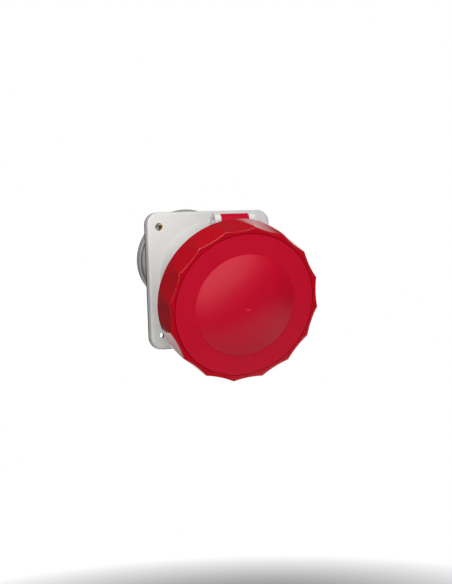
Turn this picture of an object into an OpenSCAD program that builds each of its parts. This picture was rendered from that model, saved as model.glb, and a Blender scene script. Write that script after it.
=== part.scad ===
// Angled panel socket outlet, 3P+N+E with pilot contact, with a hinged lid and a bayonet ring.
// Row frame: the panel's front surface is the plane y = 0, the socket faces -Y, and +Z is up.
// Lengths are in millimetres. Places along the socket's own axis are counted from the flange's front face,
// positive towards the plug, and angles round it start at the right-hand side and run towards the top.

/* [Flange] */
// Width of the flange
flange_w = 110; // [106:1:130]
// Height of the flange
flange_h = 114; // [110:1:130]
// Thickness of the flange
flange_t = 6.5; // [5:0.5:9]
// Radius of the flange's corners
flange_corner_r = 10.5; // [6:0.5:12]
// Radius of the flange's front edge
flange_edge_r = 2; // [1:0.25:3]
// Distance between the fixing holes across
fixing_pitch_x = 90; // [88:1:94]
// Distance between the fixing holes up and down
fixing_pitch_z = 90; // [88:1:98]
// Radius of the fixing holes
fixing_hole_r = 2.75; // [2:0.25:3.25]
// Wall of the metal bush in the upper left fixing hole
bush_wall = 0.55; // [0.4:0.05:1]
// Thickness of the panel gasket
gasket_t = 1.8; // [1:0.2:3]
// Radius of the gasket's middle opening
gasket_opening_r = 45; // [43:0.5:48]

/* [Socket axis] */
// Angle by which the socket looks down
tilt = 17; // [10:1:20]

/* [Collar] */
// Outer radius of the collar
collar_r = 46; // [45:0.5:47]
// Wall of the collar
collar_wall = 3; // [2.5:0.25:3.5]
// Place of the collar's mouth along the axis
collar_mouth = 66.7; // [64:0.5:72]
// Place of the front of the collar's floor along the axis
floor_front = 12; // [11:0.5:14]
// Thickness of the collar's floor
floor_t = 4; // [3:0.5:5]
// Height of the bayonet lugs above the collar
lug_reach = 6.5; // [6:0.25:7]
// Length of the bayonet lugs along the axis
lug_t = 4; // [3:0.5:5]
// Angle that a bayonet lug spans
lug_sweep = 20; // [14:1:22]
// Width of the keyway in the bottom of the collar
keyway_w = 8; // [5:0.5:10]
// Depth of the keyway
keyway_depth = 1.6; // [1:0.1:1.9]

/* [Rear spigot] */
// Outer radius of the spigot behind the flange
spigot_r = 38.4; // [38:0.2:40]
// Wall of the spigot
spigot_wall = 1.9; // [1.6:0.1:2.2]
// Distance from the flange's front face to the spigot's end
spigot_reach = 69.5; // [68:0.5:80]
// Thickness of the ribs between spigot and collar
rib_t = 2; // [1.5:0.25:3]
// Radius of the access holes to the terminal screws
access_hole_r = 4; // [3.5:0.25:4.5]

/* [Hinge] */
// Distance from the bayonet ring's rear edge back to the hinge axis
hinge_setback = 11.2; // [10.5:0.2:13]
// Distance from the bayonet ring's outside in to the hinge axis
hinge_inset = 4; // [3:0.5:5]
// Radius of the hinge pin
hinge_pin_r = 2; // [1.5:0.1:2.5]
// Radius of the lid's hinge barrel
barrel_r = 5; // [4.5:0.25:5.5]
// Width of the lid's hinge barrel
barrel_w = 24; // [20:1:26]
// Thickness of each hinge ear
ear_t = 5.2; // [4:0.2:6]
// Radius of the rounded top of an ear
ear_r = 5.5; // [5:0.25:6]
// Gap between barrel and ear on each side
ear_gap = 0.3; // [0.2:0.1:0.6]
// Depth of the pin's ends below the outside of the ears
pin_recess = 1; // [0.5:0.25:1.5]

/* [Lid] */
// Width of the flat that runs round the dome
flat_w = 16.7; // [14:0.1:20]
// Thickness of the lid's disc
lid_t = 3; // [2.5:0.25:4]
// Height of the dome at its middle
dome_rise = 8; // [3:0.5:10]
// Height of the step round the dome
dome_step = 0.5; // [0.3:0.1:1]
// Gap between collar and lid skirt
skirt_gap = 2.2; // [2:0.1:2.6]
// Wall of the lid skirt
skirt_wall = 2.5; // [2.2:0.1:2.6]
// Length of the lid skirt behind the disc
skirt_len = 7.8; // [7.4:0.2:9]
// Thickness of the lid seal
seal_t = 3.3; // [3:0.1:4]
// Gap between the lid seal and the collar's mouth
seal_gap = 0.3; // [0.2:0.1:0.6]
// Reach of the lid seal inside the collar's wall
seal_overlap = 1.1; // [0.8:0.1:1.6]
// Wall of the rib that keeps the lid seal round
seal_rib_t = 1.6; // [1.2:0.1:2]

/* [Bayonet ring] */
// Gap between the ring's inner sleeve and its outer shell
shell_gap = 6; // [5:0.25:8]
// Width of the ring's front rim round the lid's disc
rim_w = 5.3; // [4.5:0.1:6]
// Length of the bayonet ring along the axis
ring_len = 25.8; // [25:0.2:27]
// Step from the lid's face back to the ring's front
ring_step = 0.3; // [0.2:0.1:1]
// Width of the groove between the lid's disc and the ring
ring_groove = 0.5; // [0.3:0.1:0.9]
// Number of scooped flats round the ring
scoop_count = 16; // [14:1:18]
// Depth of a scoop at the ring's front
scoop_depth = 2.15; // [1.9:0.05:2.3]
// Width of the ridge left between two scoops at the ring's front
ridge_land = 0.5; // [0.3:0.1:1]
// Angle at which the scoops run out towards the rear
scoop_runout = 6; // [5.5:0.25:7]
// Turn of the first ridge from the ring's lowest point
ridge_turn = -3.6; // [-11:0.1:11]
// Wall of the ring's outer shell at its rear edge
ring_wall = 2.8; // [2.4:0.1:3.2]
// Thickness of the ring's web behind the lid's disc
web_t = 3; // [2.5:0.25:3.2]
// Thickness of the clip that keeps the ring on the lid
clip_t = 2.6; // [2:0.1:2.8]
// Depth of the clip's groove in the lid skirt
clip_depth = 1; // [0.6:0.1:1.4]
// Radial width of the clip
clip_w = 3.3; // [2.5:0.1:3.4]
// Wall of the ring's inner sleeve
sleeve_wall = 2.4; // [2:0.1:2.8]
// Gap between the lugs and the ring's inner sleeve
lug_gap = 1.3; // [1:0.1:2]
// Thickness of the bayonet ramps
ramp_t = 3.2; // [2.6:0.2:3.6]
// Overlap of the bayonet ramps on the lugs
ramp_bite = 2.2; // [1.8:0.1:2.3]
// Turn of the ring from unlocked to locked
lock_turn = 30; // [28:1:32]

/* [Contacts] */
// Radius of the circle that the main contacts stand on
contact_circle_r = 23; // [22:0.25:24]
// Radius of the plug's phase and neutral pins
phase_pin_r = 5; // [4:0.25:5.5]
// Radius of the plug's earth pin
earth_pin_r = 6; // [5:0.25:6.5]
// Radius of the plug's pilot pin
pilot_pin_r = 3; // [2:0.25:3.5]
// Radial clearance of a plug pin in its sleeve
pin_clearance = 0.05; // [0.05:0.01:0.1]
// Wall of the sleeves
sleeve_contact_wall = 2; // [1.5:0.25:2.25]
// Wall of the narrow tip with which each sleeve sits in the carrier's front
tip_wall = 1.2; // [1:0.1:1.5]
// Length of that tip
tip_len = 2; // [1.5:0.1:3]
// Depth of the pin bores
pin_depth = 36; // [30:1:40]
// Thickness of the collar that seats a contact in the carrier
seat_t = 2; // [1.5:0.25:3]
// Length of the guides on each contact, in front of its seat and behind its sleeve
guide_t = 5; // [3:0.5:8]
// Thickness of the spring rings
spring_t = 0.8; // [0.5:0.1:1]
// Width of the spring rings
spring_w = 3; // [2:0.5:5]
// Width of the slots in the sleeves
slot_w = 0.8; // [0.6:0.1:1.2]
// Turn of the first slot from the line to the middle of the socket
slot_turn = 67.5; // [0:0.5:90]
// Radius of the main terminals' conductor bores
conductor_r = 5.5; // [4.5:0.25:5.75]
// Depth of the conductor bores
conductor_depth = 20; // [16:1:24]
// Radius of the terminal screws
clamp_screw_r = 3; // [2.5:0.25:3.25]
// Length of the terminal screws
clamp_screw_len = 6.5; // [5:0.25:7]
// Distance from a terminal's end to its clamp screw
clamp_inset = 3.5; // [3:0.25:5]
// Growth in radius from a sleeve to the terminal behind it
terminal_wall = 1.2; // [1:0.1:1.6]
// Growth in radius from a terminal to its seat
seat_w = 1.6; // [1.2:0.1:2]

/* [Carrier] */
// Distance from the collar's mouth down to the carrier's front
carrier_recess = 6.7; // [5:0.5:8]
// Length of the carrier behind its shoulder
carrier_len = 45; // [42:1:47]
// Width of the carrier's shoulder
shoulder_w = 1.1; // [0.9:0.1:1.5]
// Thickness of the carrier's front wall over the sleeves
carrier_front_t = 6; // [4:0.5:7]
// Thickness of the seal in front of the carrier's shoulder
carrier_seal_t = 1; // [0.8:0.1:1.6]
// Thickness of the retaining plate
retainer_t = 3; // [2.5:0.25:4]
// Radius of the circle that the plate's screws and posts stand on
retainer_circle_r = 29; // [28.6:0.1:29.4]
// Radius of the posts that carry the rear cover
post_r = 3.6; // [3.2:0.1:3.8]
// Thickness of the lock ring
lock_ring_t = 4; // [3:0.25:4.5]
// Length of the terminals behind the carrier
terminal_reach = 19; // [18:0.5:22]
// Shank radius of the plate's and the cover's screws
small_screw_r = 1.6; // [1.4:0.1:1.8]
// Depth of the holes that these screws cut their thread in
screw_grip = 12; // [8:1:15]

/* [Rear cover] */
// Outer radius of the cover's rim
cover_r = 41.6; // [41:0.2:43]
// Wall of the cover's rim
cover_wall = 1.5; // [1.2:0.1:1.8]
// Length of the cover's rim
cover_len = 7; // [6:0.5:9]
// Thickness of the cover's back
cover_back_t = 2.6; // [2:0.2:4]
// Wall of the lip that centres the cover in the spigot
cover_lip_t = 1.6; // [1.2:0.1:2]
// Length of that lip
cover_lip_len = 3; // [2:0.5:5]
// Radius of the conductor holes in the cover
cover_hole_r = 7.5; // [6.5:0.25:8]

/* [Hidden] */
$fa = 4;
$fs = 0.7;

// General clearances
fit = 0.2;
snug = 0.05;
running = 0.08;
end_play = 0.5;
face_gap = 0.4;

// Edge of a moulded rim
edge_cut = 0.5;
over = 1;

// Colours
shell_grey = [0.86, 0.85, 0.83];
cover_grey = [0.70, 0.70, 0.69];
signal_red = [0.75, 0.02, 0.10];
rubber_black = [0.06, 0.06, 0.06];
carrier_black = [0.16, 0.16, 0.17];
brass = [0.72, 0.60, 0.30];
steel = [0.70, 0.71, 0.73];

// Places along the socket's axis
front_y = gasket_t + flange_t;
floor_back = floor_front - floor_t;
shoulder_a = floor_back - carrier_seal_t;
carrier_front = collar_mouth - carrier_recess;
carrier_back = shoulder_a - carrier_len;
chamber_front = carrier_front - carrier_front_t;
contact_tip = chamber_front + tip_len - end_play;
contact_step = floor_front;
terminal_back = carrier_back - terminal_reach;
retainer_back = carrier_back - retainer_t;
lock_ring_back = retainer_back - lock_ring_t;
spigot_back = -spigot_reach;
clamp_a = terminal_back + clamp_screw_r + clamp_inset;
cover_back = spigot_back - cover_back_t;
lid_back = collar_mouth + seal_gap + seal_t;
lid_front = lid_back + lid_t;
ring_front = lid_front - ring_step;
ring_back = ring_front - ring_len;
sleeve_back = ring_back + fit;
ramp_back = sleeve_back + face_gap;
lug_back = ramp_back + ramp_t + face_gap;
hinge_a = ring_back - hinge_setback;
web_front = lid_back - face_gap;
web_back = web_front - web_t;
clip_front = web_back - face_gap;
clip_back = clip_front - clip_t;

// Radii round the socket's axis
hollow_r = collar_r - collar_wall;
lug_r = collar_r + lug_reach;
spigot_bore_r = spigot_r - spigot_wall;
carrier_r = spigot_bore_r - fit;
tube_r = carrier_r - shoulder_w;
ring_sleeve_r = lug_r + lug_gap;
ring_sleeve_out_r = ring_sleeve_r + sleeve_wall;
ring_shell_r = ring_sleeve_out_r + shell_gap;
ring_r = ring_shell_r + ring_wall;
lip_r = ring_r - rim_w;
lid_r = lip_r - ring_groove;
dome_r = lid_r - flat_w;
hinge_r = ring_r - hinge_inset;
skirt_r = collar_r + skirt_gap;
skirt_out_r = skirt_r + skirt_wall;
clip_seat_r = skirt_out_r - clip_depth;
clip_r = clip_seat_r + clip_w;
ramp_r = lug_r - ramp_bite;
lock_ring_bore_r = retainer_circle_r + post_r + 3 * fit;
seal_out_r = skirt_r - fit;
seal_in_r = hollow_r - seal_overlap;
seal_rib_r = seal_in_r - fit;

// Angles round the socket's axis
TOP = 90;
BOTTOM = -90;
contact_angles = [for (i = [0:4]) BOTTOM + i * 72];
lug_angles = [BOTTOM, BOTTOM + 120, BOTTOM + 240];
screw_angles = [BOTTOM + 36, BOTTOM - 36, TOP];
post_angles = [BOTTOM + 108, BOTTOM - 108];
spring_sweep = 310;
clip_sweep = 336;

// Sizes of the small screws' heads
head_r = 2 * small_screw_r;
head_t = 1.5 * small_screw_r;
head_slot_w = 0.5 * small_screw_r;

// Sizes of the hinge
ear_in = barrel_w / 2 + ear_gap;
ear_out = ear_in + ear_t;
hinge = [hinge_r, hinge_a];

// Puts children on the socket's axis: their Z runs towards the plug, their Y towards the top.
module on_axis(a = 0) {
    translate([0, -front_y, 0])
        rotate([90 + tilt, 0, 0])
            translate([0, 0, a])
                children();
}

// Puts children on a circle of radius r, with their X pointing outwards.
module at_angle(angle, r = 0) {
    rotate([0, 0, angle])
        translate([r, 0, 0])
            children();
}

// Solid of revolution from a0 to a1.
module rod(r, a0, a1) {
    translate([0, 0, a0])
        cylinder(r = r, h = a1 - a0);
}

// Solid of revolution from a0 to a1 with both outer edges cut off.
module edged_rod(r, a0, a1, cut) {
    rotate_extrude()
        polygon([[0, a0], [r - cut, a0], [r, a0 + cut], [r, a1 - cut], [r - cut, a1], [0, a1]]);
}

// Hollow cylinder from a0 to a1.
module tube(r_out, r_in, a0, a1) {
    difference() {
        rod(r_out, a0, a1);
        rod(r_in, a0 - over, a1 + over);
    }
}

// Part of a hollow cylinder that spans sweep degrees, centred on angle.
module arc_block(r_out, r_in, a0, a1, angle, sweep) {
    rotate([0, 0, angle - sweep / 2])
        translate([0, 0, a0])
            rotate_extrude(angle = sweep)
                translate([r_in, 0])
                    square([r_out - r_in, a1 - a0]);
}

// Pulls a side view, drawn as [distance from the axis, place along it], into a block from x0 to x1 at the top.
module side_block(x0, x1) {
    translate([x0, 0, 0])
        rotate([90, 0, 90])
            linear_extrude(x1 - x0)
                children();
}

// Point where a straight line from point b touches the circle of radius r round c, on side +1 or -1.
function touch(c, r, b, side) =
    let (d = b - c, turn = atan2(d[1], d[0]) + side * acos(r / norm(d)))
    c + r * [cos(turn), sin(turn)];

// Outline of the flange, grown or shrunk by grow.
module flange_outline(grow = 0) {
    r = flange_corner_r + grow;
    w = flange_w / 2 - flange_corner_r;
    h = flange_h / 2 - flange_corner_r;
    square([2 * (w + r), 2 * h], center = true);
    square([2 * w, 2 * (h + r)], center = true);
    for (x = [-w, w])
        for (z = [-h, h])
            translate([x, z])
                circle(r);
}

// Side of the flange plate: width r from a corner's centre, with a rounded front edge.
module flange_edge(r) {
    square([r, flange_t - flange_edge_r]);
    square([r - flange_edge_r, flange_t]);
    translate([r - flange_edge_r, flange_t - flange_edge_r])
        intersection() {
            circle(flange_edge_r);
            square(flange_edge_r);
        }
}

// Flange plate with its back on the plane z = 0 and its rounded front edge above.
module flange_plate() {
    w = flange_w / 2 - flange_corner_r;
    h = flange_h / 2 - flange_corner_r;
    linear_extrude(flange_t)
        square([2 * w, 2 * h], center = true);
    for (side = [0, 180])
        rotate([0, 0, side]) {
            translate([w, h, 0])
                rotate([90, 0, 0])
                    linear_extrude(2 * h)
                        flange_edge(flange_corner_r);
            translate([-w, h, 0])
                rotate([90, 0, 90])
                    linear_extrude(2 * w)
                        flange_edge(flange_corner_r);
            translate([w, h, 0])
                rotate_extrude(angle = 90)
                    flange_edge(flange_corner_r);
            translate([-w, h, 0])
                rotate([0, 0, 90])
                    rotate_extrude(angle = 90)
                        flange_edge(flange_corner_r);
        }
}

// Children at the four fixing holes, with their Z running out of the flange's front.
module at_fixings() {
    for (x = [-1, 1])
        for (z = [-1, 1])
            translate([x * fixing_pitch_x / 2, 0, z * fixing_pitch_z / 2])
                rotate([90, 0, 0])
                    children();
}

// Child at the upper left fixing hole.
module at_bush() {
    translate([-fixing_pitch_x / 2, 0, fixing_pitch_z / 2])
        rotate([90, 0, 0])
            children();
}

// Side view of a hinge ear, from inside the collar wall up round the pin.
module ear_side() {
    foot_front = [collar_r - 7, hinge_a + ear_r + 4];
    foot_back = [collar_r - 7, hinge_a - ear_r - 5];
    polygon([foot_back, foot_front, touch(hinge, ear_r, foot_front, -1), hinge,
             touch(hinge, ear_r, foot_back, 1)]);
    translate(hinge)
        circle(ear_r);
}

// Lugs that the bayonet ring pulls on, with a sloping start.
module bayonet_lugs() {
    for (angle = lug_angles)
        difference() {
            arc_block(lug_r, collar_r - 1, lug_back, lug_back + lug_t, angle, lug_sweep);
            at_angle(angle + lug_sweep / 2, collar_r)
                translate([0, -0.75 * lug_t, lug_back])
                    rotate([30, 0, 0])
                        translate([0, -lug_t, -2 * lug_t])
                            cube([2 * lug_reach, 3 * lug_t, 2 * lug_t]);
        }
}

// Hollows behind the collar's floor, with ribs left between them.
module rear_pockets() {
    pocket_count = 8;
    a0 = -collar_r;
    translate([0, 0, a0])
        linear_extrude(floor_back - a0)
            difference() {
                circle(hollow_r);
                circle(spigot_r);
                for (i = [0:pocket_count / 2 - 1])
                    rotate(i * 360 / pocket_count)
                        square([3 * collar_r, rib_t], center = true);
            }
}

module flange_housing() {
    color(shell_grey)
        difference() {
            union() {
                translate([0, -gasket_t, 0])
                    rotate([90, 0, 0])
                        flange_plate();
                intersection() {
                    on_axis()
                        rod(collar_r, -collar_r, collar_mouth);
                    translate([-flange_w, -3 * flange_w - gasket_t, -flange_h])
                        cube([2 * flange_w, 3 * flange_w, 2 * flange_h]);
                }
                on_axis() {
                    rod(spigot_r, spigot_back, floor_back);
                    bayonet_lugs();
                    for (x = [-ear_out, ear_in])
                        side_block(x, x + ear_t)
                            ear_side();
                }
            }
            on_axis() {
                rod(hollow_r, floor_front, collar_mouth + over);
                rod(tube_r + fit, floor_back - over, floor_front + over);
                rod(spigot_bore_r, spigot_back - over, floor_back);
                rear_pockets();
                keyway();
                for (angle = contact_angles)
                    at_angle(angle, 0)
                        translate([spigot_bore_r - 4, 0, clamp_a])
                            rotate([0, 90, 0])
                                cylinder(r = access_hole_r, h = 4 + spigot_wall + over);
                translate([-ear_out - over, hinge_r, hinge_a])
                    rotate([0, 90, 0])
                        cylinder(r = hinge_pin_r, h = 2 * (ear_out + over));
            }
            at_fixings()
                cylinder(r = fixing_hole_r, h = front_y + over);
            at_bush()
                cylinder(r = fixing_hole_r + bush_wall, h = front_y + over);
        }
}

// Groove in the bottom of the collar that lets only the right plug in.
module keyway() {
    translate([-keyway_w / 2, -hollow_r - keyway_depth, floor_front])
        cube([keyway_w, keyway_depth + hollow_r / 4, collar_mouth - floor_front + over]);
}

module panel_gasket() {
    color(rubber_black)
        difference() {
            rotate([90, 0, 0])
                linear_extrude(gasket_t)
                    difference() {
                        flange_outline();
                        translate([0, front_y * tan(tilt)])
                            circle(gasket_opening_r);
                    }
            at_fixings()
                translate([0, 0, -over])
                    cylinder(r = fixing_hole_r, h = gasket_t + 2 * over);
        }
}

module fixing_bush() {
    color(brass)
        at_bush()
            translate([0, 0, gasket_t])
                difference() {
                    cylinder(r = fixing_hole_r + bush_wall, h = flange_t);
                    translate([0, 0, -over])
                        cylinder(r = fixing_hole_r, h = flange_t + 2 * over);
                    translate([0, 0, flange_t - bush_wall])
                        cylinder(r1 = fixing_hole_r, r2 = fixing_hole_r + 0.8 * bush_wall, h = bush_wall + 0.01);
                }
}

// Outer radius of the sleeve for a pin of radius pin_r.
function sleeve_out(pin_r) = pin_r + pin_clearance + sleeve_contact_wall;

// Outer radius of the terminal behind that sleeve, and of the collar that seats it in the carrier.
function terminal_r(pin_r) = sleeve_out(pin_r) + terminal_wall;
function seat_r(pin_r) = terminal_r(pin_r) + seat_w;

// Outer radius of the sleeve's narrow tip.
function tip_r(pin_r) = pin_r + pin_clearance + tip_wall;

// Radius of the conductor bore of a terminal.
function bore_for(pin_r) = pin_r < phase_pin_r ? conductor_r * pin_r / phase_pin_r : conductor_r;

// Holes in the carrier for one contact.
module contact_chamber(pin_r) {
    rod(tip_r(pin_r) + fit, chamber_front - over, carrier_front + over);
    rod(sleeve_out(pin_r) + spring_t + fit, contact_step + end_play, chamber_front);
    rod(terminal_r(pin_r) + fit, carrier_back - over, contact_step + end_play);
    rod(seat_r(pin_r) + fit, carrier_back - over, carrier_back + seat_t);
}

// Sleeve contact with its terminal, on its own axis. The clamp screw enters from the outside of the circle.
module contact(pin_r) {
    difference() {
        rotate([0, 0, slot_turn])
            turned_contact(pin_r);
        translate([0, 0, clamp_a])
            rotate([0, 90, 0])
                rotate([0, 0, slot_turn])
                    cylinder(r = clamp_r(pin_r), h = 2 * terminal_r(pin_r));
    }
}

// What the lathe and the slotting saw leave of a contact.
module turned_contact(pin_r) {
    r = pin_r + pin_clearance;
    difference() {
        union() {
            rod(sleeve_out(pin_r), contact_step, contact_tip - tip_len);
            rod(tip_r(pin_r), contact_step, contact_tip);
            rod(terminal_r(pin_r), contact_step - guide_t, contact_step);
            rod(pin_r, carrier_back, contact_step);
            rod(terminal_r(pin_r), terminal_back, carrier_back + seat_t + guide_t);
            rod(seat_r(pin_r), carrier_back, carrier_back + seat_t);
        }
        rod(r, contact_tip - pin_depth, contact_tip + over);
        for (turn = [0, 90])
            rotate([0, 0, turn])
                translate([-2 * r - over, -slot_w / 2, contact_tip - 0.7 * pin_depth])
                    cube([2 * (2 * r + over), slot_w, pin_depth]);
        rod(bore_for(pin_r), terminal_back - over, terminal_back + conductor_depth);
    }
}

// Radius of the clamp screw of a contact.
function clamp_r(pin_r) = pin_r < phase_pin_r ? clamp_screw_r * pin_r / phase_pin_r : clamp_screw_r;

// One of the five main contacts, counted from the earth contact at the bottom.
module main_contact(i, pin_r) {
    color(brass)
        on_axis()
            at_angle(contact_angles[i], contact_circle_r)
                contact(pin_r);
}

module contact_l1() {
    main_contact(4, phase_pin_r);
}

module contact_l2() {
    main_contact(3, phase_pin_r);
}

module contact_l3() {
    main_contact(2, phase_pin_r);
}

module contact_neutral() {
    main_contact(1, phase_pin_r);
}

module contact_earth() {
    main_contact(0, earth_pin_r);
}

module contact_pilot() {
    color(brass)
        on_axis()
            rotate([0, 0, post_angles[0]])
                contact(pilot_pin_r);
}

// Spring ring, open on one side, round the front of each slotted sleeve.
module contact_springs() {
    color(steel)
        on_axis() {
            for (i = [0:4])
                at_angle(contact_angles[i], contact_circle_r)
                    spring_ring(i == 0 ? earth_pin_r : phase_pin_r);
            spring_ring(pilot_pin_r);
        }
}

module spring_ring(pin_r) {
    r = sleeve_out(pin_r);
    a = contact_tip - tip_len - spring_w;
    arc_block(r + snug + spring_t, r + snug, a - spring_w, a, 0, spring_sweep);
}

module contact_carrier() {
    color(carrier_black)
        on_axis()
            difference() {
                union() {
                    rod(tube_r, shoulder_a - over, carrier_front);
                    rod(carrier_r, carrier_back, shoulder_a);
                }
                for (i = [0:4])
                    at_angle(contact_angles[i], contact_circle_r)
                        contact_chamber(i == 0 ? earth_pin_r : phase_pin_r);
                contact_chamber(pilot_pin_r);
                for (angle = screw_angles)
                    at_angle(angle, retainer_circle_r)
                        rod(small_screw_r, carrier_back - over, carrier_back + screw_grip);
            }
}

module carrier_seal() {
    color(rubber_black)
        on_axis()
            tube(spigot_bore_r, tube_r, shoulder_a, floor_back);
}

// Pan-head screw that enters from the rear, with the underside of its head at z = 0.
module small_screw(grip) {
    difference() {
        union() {
            cylinder(r = small_screw_r, h = grip);
            translate([0, 0, -head_t])
                cylinder(r = head_r, h = head_t);
        }
        for (turn = [0, 90])
            rotate([0, 0, turn])
                translate([-0.6 * head_r, -head_slot_w / 2, -head_t - over])
                    cube([1.2 * head_r, head_slot_w, 0.5 * head_t + over]);
    }
}

// Plate over the rear of the carrier, with the posts for the rear cover.
module contact_retainer() {
    color(carrier_black)
        on_axis()
            difference() {
                union() {
                    rod(carrier_r, retainer_back, carrier_back);
                    for (angle = post_angles)
                        at_angle(angle, retainer_circle_r)
                            rod(post_r, spigot_back, carrier_back);
                }
                for (i = [0:4])
                    at_angle(contact_angles[i], contact_circle_r)
                        rod(terminal_r(i == 0 ? earth_pin_r : phase_pin_r) + fit,
                            retainer_back - over, carrier_back + over);
                rod(terminal_r(pilot_pin_r) + fit, retainer_back - over, carrier_back + over);
                for (angle = screw_angles)
                    at_angle(angle, retainer_circle_r)
                        rod(small_screw_r + fit, retainer_back - over, carrier_back + over);
                for (angle = post_angles)
                    at_angle(angle, retainer_circle_r)
                        rod(small_screw_r, spigot_back - over, spigot_back + screw_grip);
            }
}

module retainer_screws() {
    color(steel)
        on_axis(retainer_back)
            for (angle = screw_angles)
                at_angle(angle, retainer_circle_r)
                    small_screw(retainer_t + screw_grip - over);
}

// Ring nut behind the carrier, with spanner notches.
module lock_ring() {
    color(shell_grey)
        on_axis()
            difference() {
                tube(spigot_bore_r - snug, lock_ring_bore_r, lock_ring_back, retainer_back);
                for (turn = [0, 90])
                    rotate([0, 0, turn + 45])
                        translate([-lock_ring_bore_r - 1.4, -2.5, lock_ring_back - over])
                            cube([2 * (lock_ring_bore_r + 1.4), 5, 2 + over]);
            }
}

// Set screw with a hexagon socket, its tip at z = 0.
module set_screw(r, length) {
    difference() {
        cylinder(r = r, h = length);
        translate([0, 0, length - r])
            cylinder(r = 0.55 * r, h = r + over, $fn = 6);
    }
}

module terminal_screws() {
    color(steel)
        on_axis(clamp_a) {
            for (i = [0:4])
                at_angle(contact_angles[i], contact_circle_r + conductor_r)
                    rotate([0, 90, 0])
                        set_screw(clamp_screw_r, clamp_screw_len);
            at_angle(post_angles[0], bore_for(pilot_pin_r))
                rotate([0, 90, 0])
                    set_screw(clamp_r(pilot_pin_r), clamp_screw_len);
        }
}

// Cap over the terminals. Its rim stands off the spigot all round.
module rear_cover() {
    color(cover_grey)
        on_axis()
            difference() {
                union() {
                    difference() {
                        edged_rod(cover_r, cover_back, cover_back + cover_len, edge_cut);
                        rod(cover_r - cover_wall, spigot_back, cover_back + cover_len + over);
                    }
                    tube(spigot_bore_r - fit, spigot_bore_r - fit - cover_lip_t, spigot_back,
                         spigot_back + cover_lip_len);
                }
                for (angle = contact_angles)
                    at_angle(angle, contact_circle_r)
                        rod(cover_hole_r, cover_back - over, spigot_back + over);
                rod(bore_for(pilot_pin_r) + 1, cover_back - over, spigot_back + over);
                for (angle = post_angles)
                    at_angle(angle, retainer_circle_r)
                        rod(small_screw_r + fit, cover_back - over, spigot_back + over);
            }
}

module cover_screws() {
    color(steel)
        on_axis(cover_back)
            for (angle = post_angles)
                at_angle(angle, retainer_circle_r)
                    small_screw(cover_back_t + screw_grip - over);
}

module hinge_pin() {
    reach = ear_out - pin_recess;
    color(steel)
        on_axis()
            translate([-reach, hinge_r, hinge_a])
                rotate([0, 90, 0])
                    cylinder(r = hinge_pin_r, h = 2 * reach);
}

// Half section of a spherical cap of the given radius and rise, standing on z = 0.
module cap_section(r, rise) {
    ball_r = (r * r + rise * rise) / (2 * rise);
    intersection() {
        translate([0, rise - ball_r])
            circle(ball_r, $fn = 180);
        square([r, rise + over]);
    }
}

// Half section of the lid: disc, dome, skirt and the rib inside the seal.
module lid_section() {
    difference() {
        union() {
            translate([0, lid_back])
                square([lid_r, lid_t]);
            translate([0, lid_front])
                square([dome_r, dome_step]);
            translate([0, lid_front + dome_step])
                cap_section(dome_r, dome_rise);
            translate([skirt_r, lid_back - skirt_len])
                square([skirt_wall, skirt_len + over]);
            translate([seal_rib_r - seal_rib_t, lid_back - 0.75 * seal_t])
                square([seal_rib_t, seal_t]);
        }
        translate([0, lid_back - over])
            square([dome_r - lid_t, over + dome_step]);
        translate([0, lid_back + dome_step])
            cap_section(dome_r - lid_t, dome_rise);
        translate([clip_seat_r, clip_back])
            square([skirt_wall, clip_front - clip_back]);
    }
}

// Side view of the arm from the skirt back under the ring and up to the barrel.
module arm_side() {
    arm_front = ring_back - 0.6;
    arm_back = arm_front - 3.6;
    bend = [skirt_out_r + 1.8, arm_front];
    heel = [skirt_r - 1, arm_back];
    polygon([[skirt_r - 6, arm_back], [skirt_r - 6, arm_front], bend,
             touch(hinge, barrel_r, bend, -1), hinge, touch(hinge, barrel_r, heel, 1), heel]);
    translate(hinge)
        circle(barrel_r);
}

module lid() {
    color(signal_red)
        on_axis()
            difference() {
                union() {
                    rotate_extrude()
                        lid_section();
                    intersection() {
                        tube(skirt_out_r, skirt_r, ring_back - 4.2, lid_back - skirt_len + over);
                        translate([-barrel_w / 2, 0, 0])
                            cube([barrel_w, 2 * collar_r, lid_back]);
                    }
                    difference() {
                        side_block(-barrel_w / 2, barrel_w / 2)
                            arm_side();
                        rod(skirt_r, 0, lid_back);
                    }
                }
                translate([-barrel_w, hinge_r, hinge_a])
                    rotate([0, 90, 0])
                        cylinder(r = hinge_pin_r + running, h = 2 * barrel_w);
            }
}

module lid_seal() {
    color(rubber_black)
        on_axis()
            tube(seal_out_r, seal_in_r, lid_back - seal_t, lid_back);
}

// Snap ring in the skirt's groove, open at the bottom.
module ring_clip() {
    color(steel)
        on_axis()
            arc_block(clip_r, clip_seat_r + snug, clip_back, clip_front, TOP, clip_sweep);
}

// Half section of the bayonet ring: outer shell, front lip, web and inner sleeve.
module ring_section() {
    polygon([[ring_sleeve_r, sleeve_back], [ring_sleeve_out_r, sleeve_back],
             [ring_sleeve_out_r, web_back], [lip_r, web_back],
             [ring_shell_r, ring_back + shell_gap], [ring_shell_r, ring_back],
             [ring_r - edge_cut, ring_back], [ring_r, ring_back + edge_cut],
             [ring_r, ring_front], [lip_r, ring_front], [lip_r, web_front],
             [skirt_out_r + running, web_front], [skirt_out_r + running, web_back],
             [ring_sleeve_r, web_back]]);
}

// Tool that scoops one flat: a large cylinder that leans out towards the rear.
module scoop(angle) {
    half = ring_r * sin(180 / scoop_count) - ridge_land / 2;
    hollow = sqrt(ring_r * ring_r - half * half) - ring_r + scoop_depth;
    tool_r = (half * half + hollow * hollow) / (2 * hollow);
    at_angle(angle, ring_r - scoop_depth + tool_r)
        translate([0, 0, ring_front])
            rotate([0, -scoop_runout, 0])
                translate([0, 0, -2 * ring_len])
                    cylinder(r = tool_r, h = 3 * ring_len, $fn = 180);
}

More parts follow.
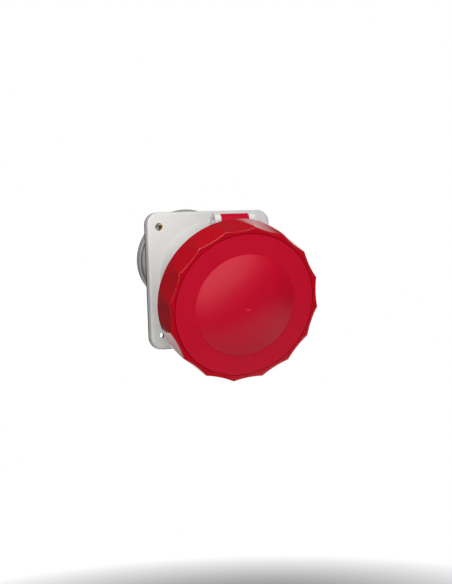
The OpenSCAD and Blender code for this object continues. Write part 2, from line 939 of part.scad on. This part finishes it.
module bayonet_ring() {
    color(signal_red)
        on_axis()
            union() {
                difference() {
                    rotate_extrude()
                        ring_section();
                    for (i = [0:scoop_count - 1])
                        scoop(BOTTOM + ridge_turn + (i + 0.5) * 360 / scoop_count);
                }
                for (angle = lug_angles)
                    arc_block(ring_sleeve_r + 1, ramp_r, ramp_back, ramp_back + ramp_t,
                              angle + lock_turn, lug_sweep);
            }
}

flange_housing();
panel_gasket();
fixing_bush();
contact_carrier();
carrier_seal();
contact_l1();
contact_l2();
contact_l3();
contact_neutral();
contact_earth();
contact_pilot();
contact_springs();
contact_retainer();
retainer_screws();
lock_ring();
terminal_screws();
rear_cover();
cover_screws();
hinge_pin();
lid();
lid_seal();
ring_clip();
bayonet_ring();
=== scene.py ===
import math

import bmesh
import bpy
from mathutils import Matrix, Vector


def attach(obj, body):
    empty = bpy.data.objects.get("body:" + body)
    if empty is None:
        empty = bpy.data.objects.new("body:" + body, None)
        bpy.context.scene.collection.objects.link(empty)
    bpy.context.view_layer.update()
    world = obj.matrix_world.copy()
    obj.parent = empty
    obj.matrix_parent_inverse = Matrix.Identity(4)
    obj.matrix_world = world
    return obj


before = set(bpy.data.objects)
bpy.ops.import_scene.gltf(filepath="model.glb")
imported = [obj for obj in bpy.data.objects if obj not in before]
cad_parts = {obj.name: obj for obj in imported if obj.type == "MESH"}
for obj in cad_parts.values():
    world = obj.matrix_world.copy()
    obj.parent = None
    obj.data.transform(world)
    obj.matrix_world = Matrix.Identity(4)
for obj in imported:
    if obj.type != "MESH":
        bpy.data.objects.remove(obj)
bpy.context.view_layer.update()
scene = bpy.context.scene
scene.view_settings.view_transform = "Standard"

# ---------------------------------------------------------------- camera
# A long lens stands a little left of the socket and about level with it. It is turned slightly, as on
# a tripod head that isn't quite level.
sight_from = Vector((-0.5028, -1.2724, 0.01695))
sight_to = Vector((0.002607, -0.0333, -0.011016))
sight_roll = math.radians(-2.16)
sight = bpy.data.objects.new("camera", bpy.data.cameras.new("camera"))
scene.collection.objects.link(sight)
ahead = (sight_to - sight_from).normalized()
level = ahead.cross(Vector((0, 0, 1))).normalized()
upright = level.cross(ahead)
across = math.cos(sight_roll) * level + math.sin(sight_roll) * upright
above = -math.sin(sight_roll) * level + math.cos(sight_roll) * upright
turn = Matrix((across, above, -ahead)).transposed()
sight.matrix_world = Matrix.Translation(sight_from) @ turn.to_4x4()
sight.data.sensor_fit = "HORIZONTAL"
sight.data.sensor_width = 36
sight.data.lens = 129.05
sight.data.clip_start = 0.01
scene.camera = sight

# ---------------------------------------------------------------- paper sweep
# A roll of white paper runs under the socket towards the lens and curves up behind it. It is matt,
# keeps the shadow near the socket, and is plain white further off.
SWEEP_Z = -0.30
SWEEP_FRONT = -0.25
SWEEP_BACK = 2.2
SWEEP_BEND = 0.6
SWEEP_TOP = 1.3
SWEEP_HALF_WIDTH = 0.6
SWEEP_SWING = math.atan2(sight_to.x - sight_from.x, sight_to.y - sight_from.y)

paper = bpy.data.materials.new("sweep_paper")
paper.use_nodes = True
nodes, links = paper.node_tree.nodes, paper.node_tree.links
card = nodes["Principled BSDF"]
card.inputs["Base Color"].default_value = (0.88, 0.88, 0.88, 1)
card.inputs["Roughness"].default_value = 0.9
card.inputs["Specular IOR Level"].default_value = 0.1
place = nodes.new("ShaderNodeTexCoord")
fibre = nodes.new("ShaderNodeTexNoise")
fibre.inputs["Scale"].default_value = 400
links.new(place.outputs["Object"], fibre.inputs["Vector"])
tooth = nodes.new("ShaderNodeBump")
tooth.inputs["Strength"].default_value = 0.08
tooth.inputs["Distance"].default_value = 0.0002
links.new(fibre.outputs["Fac"], tooth.inputs["Height"])
links.new(tooth.outputs["Normal"], card.inputs["Normal"])
shine = nodes.new("ShaderNodeEmission")
shine.inputs["Color"].default_value = (1, 1, 1, 1)
shine.inputs["Strength"].default_value = 1
far = nodes.new("ShaderNodeVectorMath")
far.operation = "LENGTH"
links.new(place.outputs["Object"], far.inputs[0])
fade = nodes.new("ShaderNodeMapRange")
fade.inputs["From Min"].default_value = 0.36
fade.inputs["From Max"].default_value = 0.46
fade.inputs["To Min"].default_value = 0.15
fade.inputs["To Max"].default_value = 1
links.new(far.outputs["Value"], fade.inputs["Value"])
rays = nodes.new("ShaderNodeLightPath")
lens_or_gloss = nodes.new("ShaderNodeMath")
lens_or_gloss.operation = "MAXIMUM"
links.new(rays.outputs["Is Camera Ray"], lens_or_gloss.inputs[0])
links.new(rays.outputs["Is Glossy Ray"], lens_or_gloss.inputs[1])
or_clear = nodes.new("ShaderNodeMath")
or_clear.operation = "MAXIMUM"
links.new(lens_or_gloss.outputs[0], or_clear.inputs[0])
links.new(rays.outputs["Is Transmission Ray"], or_clear.inputs[1])
share = nodes.new("ShaderNodeMath")
share.operation = "MULTIPLY"
links.new(or_clear.outputs[0], share.inputs[0])
links.new(fade.outputs["Result"], share.inputs[1])
blend = nodes.new("ShaderNodeMixShader")
links.new(share.outputs[0], blend.inputs["Fac"])
links.new(card.outputs["BSDF"], blend.inputs[1])
links.new(shine.outputs["Emission"], blend.inputs[2])
links.new(blend.outputs["Shader"], nodes["Material Output"].inputs["Surface"])

BEND_STEPS = 16
run = [(SWEEP_FRONT, SWEEP_Z), (0, SWEEP_Z)]
for step in range(BEND_STEPS + 1):
    lean = math.pi / 2 * step / BEND_STEPS
    run.append((SWEEP_BACK - SWEEP_BEND + SWEEP_BEND * math.sin(lean),
                SWEEP_Z + SWEEP_BEND * (1 - math.cos(lean))))
run.append((SWEEP_BACK, SWEEP_TOP))
mesh = bmesh.new()
edge = [mesh.verts.new((-SWEEP_HALF_WIDTH, along, up)) for along, up in run]
strip = [mesh.edges.new(pair) for pair in zip(edge, edge[1:])]
wide = bmesh.ops.extrude_edge_only(mesh, edges=strip)
bmesh.ops.translate(mesh, vec=(2 * SWEEP_HALF_WIDTH, 0, 0),
                    verts=[v for v in wide["geom"] if isinstance(v, bmesh.types.BMVert)])
bmesh.ops.rotate(mesh, verts=mesh.verts, matrix=Matrix.Rotation(-SWEEP_SWING, 3, "Z"))
data = bpy.data.meshes.new("paper_sweep")
mesh.to_mesh(data)
mesh.free()
for face in data.polygons:
    face.use_smooth = True
sweep = bpy.data.objects.new("paper_sweep", data)
scene.collection.objects.link(sweep)
data.materials.append(paper)

# ---------------------------------------------------------------- studio light
# Three soft boxes: one in front, whose lower edge shows in the dome, one above and a strong one at the
# upper left. The room around them is dark, so glossy sides keep their colour.


def soft_box(name, place, aim, width, height, radiance, roll=0):
    """A rectangular lamp that faces a point, turned by roll degrees about its own line of sight."""
    lamp = bpy.data.lights.new(name, "AREA")
    lamp.shape = "RECTANGLE"
    lamp.size = width
    lamp.size_y = height
    lamp.energy = radiance * math.pi * width * height
    holder = bpy.data.objects.new(name, lamp)
    scene.collection.objects.link(holder)
    facing = (Vector(aim) - Vector(place)).to_track_quat("-Z", "Y").to_matrix()
    spin = Matrix.Rotation(math.radians(roll), 3, "Z")
    holder.matrix_world = Matrix.Translation(place) @ (facing @ spin).to_4x4()
    holder.visible_camera = False


soft_box("box_front", place=(-0.0888, -0.631, 0.0247), aim=(0, -0.08, -0.01),
         width=0.8, height=0.5, radiance=1.95, roll=38.08)
soft_box("box_above", place=(-0.12, -0.25, 0.42), aim=(0, -0.06, 0),
         width=0.4, height=0.3, radiance=1.5)
soft_box("box_upper_left", place=(-0.35, -0.45, 0.40), aim=(0, -0.07, 0),
         width=0.4, height=0.4, radiance=4.4)

surround = bpy.data.worlds.new("surround")
surround.use_nodes = True
scene.world = surround
even = surround.node_tree.nodes["Background"]
even.inputs["Color"].default_value = (1, 1, 1, 1)
even.inputs["Strength"].default_value = 0.08

# ---------------------------------------------------------------- flange housing
# The light grey body: flange, tilted collar, hinge ears and rear spigot in one moulding of
# glass-filled nylon. Its skin has a fine spark-eroded grain from the mould.


def moulded(name, colour, roughness, grain=0.00022, depth=0.000012, specular=0.4, drift=0.05):
    """Moulded plastic: an even colour that drifts a little, a fine grain, and patches that shine more."""
    material = bpy.data.materials.new(name)
    material.use_nodes = True
    nodes, links = material.node_tree.nodes, material.node_tree.links
    skin = nodes["Principled BSDF"]
    skin.inputs["Specular IOR Level"].default_value = specular
    place = nodes.new("ShaderNodeTexCoord")
    flow = nodes.new("ShaderNodeTexNoise")
    flow.inputs["Scale"].default_value = 28
    flow.inputs["Detail"].default_value = 3
    links.new(place.outputs["Object"], flow.inputs["Vector"])
    tint = nodes.new("ShaderNodeMix")
    tint.data_type = "RGBA"
    tint.inputs[6].default_value = (*[c * (1 - drift) for c in colour], 1)
    tint.inputs[7].default_value = (*[min(1, c * (1 + drift)) for c in colour], 1)
    links.new(flow.outputs["Fac"], tint.inputs[0])
    links.new(tint.outputs[2], skin.inputs["Base Color"])
    polish = nodes.new("ShaderNodeMapRange")
    polish.inputs["To Min"].default_value = roughness - 0.04
    polish.inputs["To Max"].default_value = roughness + 0.05
    links.new(flow.outputs["Fac"], polish.inputs["Value"])
    links.new(polish.outputs["Result"], skin.inputs["Roughness"])
    spark = nodes.new("ShaderNodeTexNoise")
    spark.inputs["Scale"].default_value = 1 / grain
    spark.inputs["Detail"].default_value = 4
    links.new(place.outputs["Object"], spark.inputs["Vector"])
    tooth = nodes.new("ShaderNodeBump")
    tooth.inputs["Strength"].default_value = 1
    tooth.inputs["Distance"].default_value = depth
    links.new(spark.outputs["Fac"], tooth.inputs["Height"])
    links.new(tooth.outputs["Normal"], skin.inputs["Normal"])
    return material


def dress(node, material):
    """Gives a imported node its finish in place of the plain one."""
    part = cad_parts[node]
    part.data.materials.clear()
    part.data.materials.append(material)
    return part


housing_skin = moulded("housing_skin", (0.74, 0.73, 0.71), 0.42)
dress("flange_housing", housing_skin)
dress("lock_ring", housing_skin)

# ---------------------------------------------------------------- gaskets and seals
# Black rubber: the panel gasket behind the flange, the carrier's seal and the lid's seal. They are
# moulded flat or round and held in place by the pieces that press on them.
rubber = moulded("rubber", (0.02, 0.02, 0.021), 0.6, grain=0.0004, depth=0.00002, specular=0.35)
for soft in ("panel_gasket", "carrier_seal", "lid_seal"):
    dress(soft, rubber)

# ---------------------------------------------------------------- brass parts
# Bush, sleeves and terminals are turned from brass bar. The tool leaves fine rings across the
# socket's axis, and handling leaves a slight haze.
TILT = math.radians(17)
WAVE_STRETCH = 20


def turned_metal(name, colour, roughness, pitch, depth):
    """Bare metal with lathe rings at the given pitch and depth along the socket's axis."""
    material = bpy.data.materials.new(name)
    material.use_nodes = True
    nodes, links = material.node_tree.nodes, material.node_tree.links
    metal = nodes["Principled BSDF"]
    metal.inputs["Metallic"].default_value = 1
    place = nodes.new("ShaderNodeTexCoord")
    lie = nodes.new("ShaderNodeMapping")
    lie.inputs["Rotation"].default_value = (-math.pi / 2 - TILT, 0, 0)
    links.new(place.outputs["Object"], lie.inputs["Vector"])
    lathe = nodes.new("ShaderNodeTexWave")
    lathe.bands_direction = "Z"
    lathe.inputs["Scale"].default_value = 1 / pitch / WAVE_STRETCH
    lathe.inputs["Distortion"].default_value = 0.6
    links.new(lie.outputs["Vector"], lathe.inputs["Vector"])
    haze = nodes.new("ShaderNodeTexNoise")
    haze.inputs["Scale"].default_value = 160
    haze.inputs["Detail"].default_value = 4
    links.new(place.outputs["Object"], haze.inputs["Vector"])
    tint = nodes.new("ShaderNodeMix")
    tint.data_type = "RGBA"
    tint.inputs[6].default_value = (*[c * 0.86 for c in colour], 1)
    tint.inputs[7].default_value = (*colour, 1)
    links.new(haze.outputs["Fac"], tint.inputs[0])
    links.new(tint.outputs[2], metal.inputs["Base Color"])
    polish = nodes.new("ShaderNodeMapRange")
    polish.inputs["To Min"].default_value = roughness - 0.06
    polish.inputs["To Max"].default_value = roughness + 0.1
    links.new(haze.outputs["Fac"], polish.inputs["Value"])
    links.new(polish.outputs["Result"], metal.inputs["Roughness"])
    groove = nodes.new("ShaderNodeBump")
    groove.inputs["Strength"].default_value = 0.6
    groove.inputs["Distance"].default_value = depth
    links.new(lathe.outputs["Fac"], groove.inputs["Height"])
    links.new(groove.outputs["Normal"], metal.inputs["Normal"])
    return material


brass = turned_metal("turned_brass", (0.78, 0.60, 0.26), 0.3, 0.00025, 0.000008)
for contact in ("fixing_bush", "contact_l1", "contact_l2", "contact_l3", "contact_neutral",
                "contact_earth", "contact_pilot"):
    dress(contact, brass)

# ---------------------------------------------------------------- steel parts
# Zinc-plated screws and hinge pin, and bright spring wire for the spring rings and the lid's snap
# ring. Screws and pin are turned or drawn, so they share the lathe rings.
steel = turned_metal("plated_steel", (0.66, 0.67, 0.69), 0.26, 0.0003, 0.000006)
for bright in ("contact_springs", "retainer_screws", "terminal_screws", "cover_screws", "hinge_pin",
               "ring_clip"):
    dress(bright, steel)

# ---------------------------------------------------------------- contact carrier
# The black insert that holds the contacts, and the plate that traps them from behind. Both are
# moulded in matt black nylon and screwed together.
carrier_skin = moulded("carrier_skin", (0.03, 0.03, 0.032), 0.5, grain=0.0003, depth=0.00002)
dress("contact_carrier", carrier_skin)
dress("contact_retainer", carrier_skin)

# ---------------------------------------------------------------- rear cover
# A grey cap with a wide rim over the terminals, in the same light grey nylon as the housing. Its grey is
# set darker as painted shade, for the shade it lies in behind the flange. Two screws hold it on posts.
# Painted shade: the cover's colour is darker than the housing's to stand for the shade behind the flange.
cover_skin_painted_shade = moulded("cover_skin_painted_shade", (0.50, 0.50, 0.49), 0.45)
dress("rear_cover", cover_skin_painted_shade)

# ---------------------------------------------------------------- lid
# A satin red disc with a domed middle, moulded in one with its skirt and hinge arm. It swings on
# the pin between the housing's ears.
lid_skin = moulded("lid_skin", (0.56, 0.0005, 0.022), 0.33, grain=0.0003, depth=0.000006, specular=0.30)
dress("lid", lid_skin)

# ---------------------------------------------------------------- bayonet ring
# The glossy red grip ring, moulded with sixteen scooped flats. It turns on the lid's skirt, and a
# snap ring keeps it there.
ring_skin = moulded("ring_skin", (0.50, 0.0005, 0.010), 0.14, grain=0.0006, depth=0.000004, specular=0.4)
ring = dress("bayonet_ring", ring_skin)

# ---------------------------------------------------------------- rolled front edge of the ring
# The ring's scalloped front edge is rounded over in the mould, so a thin bright line runs round it.
# It is the same red nylon as the ring and turns with it.
EDGE_ROLL = 0.0008
EDGE_SINK = 0.0005
LID_EDGE = 0.0605
FLANGE_FRONT = 0.0083
WELD = 0.000002
FLAT = 0.00005
SHARP = math.radians(20)
axis = Vector((0, -math.cos(TILT), -math.sin(TILT)))
pivot = Vector((0, -FLANGE_FRONT, 0))


def from_axis(point):
    """Height along the socket's axis, and the vector from the axis to the point."""
    arm = point - pivot
    height = arm.dot(axis)
    return height, arm - height * axis


ring_mesh = bmesh.new()
ring_mesh.from_mesh(ring.data)
bmesh.ops.remove_doubles(ring_mesh, verts=ring_mesh.verts, dist=WELD)
top = max(from_axis(v.co)[0] for v in ring_mesh.verts)
crest = []
for bar in ring_mesh.edges:
    ends = [from_axis(v.co) for v in bar.verts]
    if min(height for height, arm in ends) < top - FLAT:
        continue
    if min(arm.length for height, arm in ends) < LID_EDGE:
        continue
    if len(bar.link_faces) == 2 and bar.calc_face_angle(0) > SHARP:
        crest.append(bar)
outer = {}
for bar in crest:
    for v in bar.verts:
        outer[v.index] = v.co.copy()
side = axis.cross(Vector((1, 0, 0)))
order = sorted(outer.values(),
               key=lambda spot: math.atan2(from_axis(spot)[1].dot(side), from_axis(spot)[1].x))
ring_mesh.free()
path = bpy.data.curves.new("edge_path", "CURVE")
path.dimensions = "3D"
path.bevel_depth = EDGE_ROLL
path.bevel_resolution = 3
line = path.splines.new("POLY")
line.points.add(len(order) - 1)
for point, spot in zip(line.points, order):
    inward = -from_axis(spot)[1].normalized()
    point.co = (*(spot + EDGE_SINK * inward - EDGE_SINK * axis), 1)
line.use_cyclic_u = True
draft = bpy.data.objects.new("edge_draft", path)
scene.collection.objects.link(draft)
bpy.context.view_layer.update()
edge_mesh = bpy.data.meshes.new_from_object(draft)
bpy.data.objects.remove(draft)
for face in edge_mesh.polygons:
    face.use_smooth = True
rolled_edge = bpy.data.objects.new("ring_rolled_edge", edge_mesh)
scene.collection.objects.link(rolled_edge)
edge_mesh.materials.clear()
edge_mesh.materials.append(ring_skin)
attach(rolled_edge, "ring")
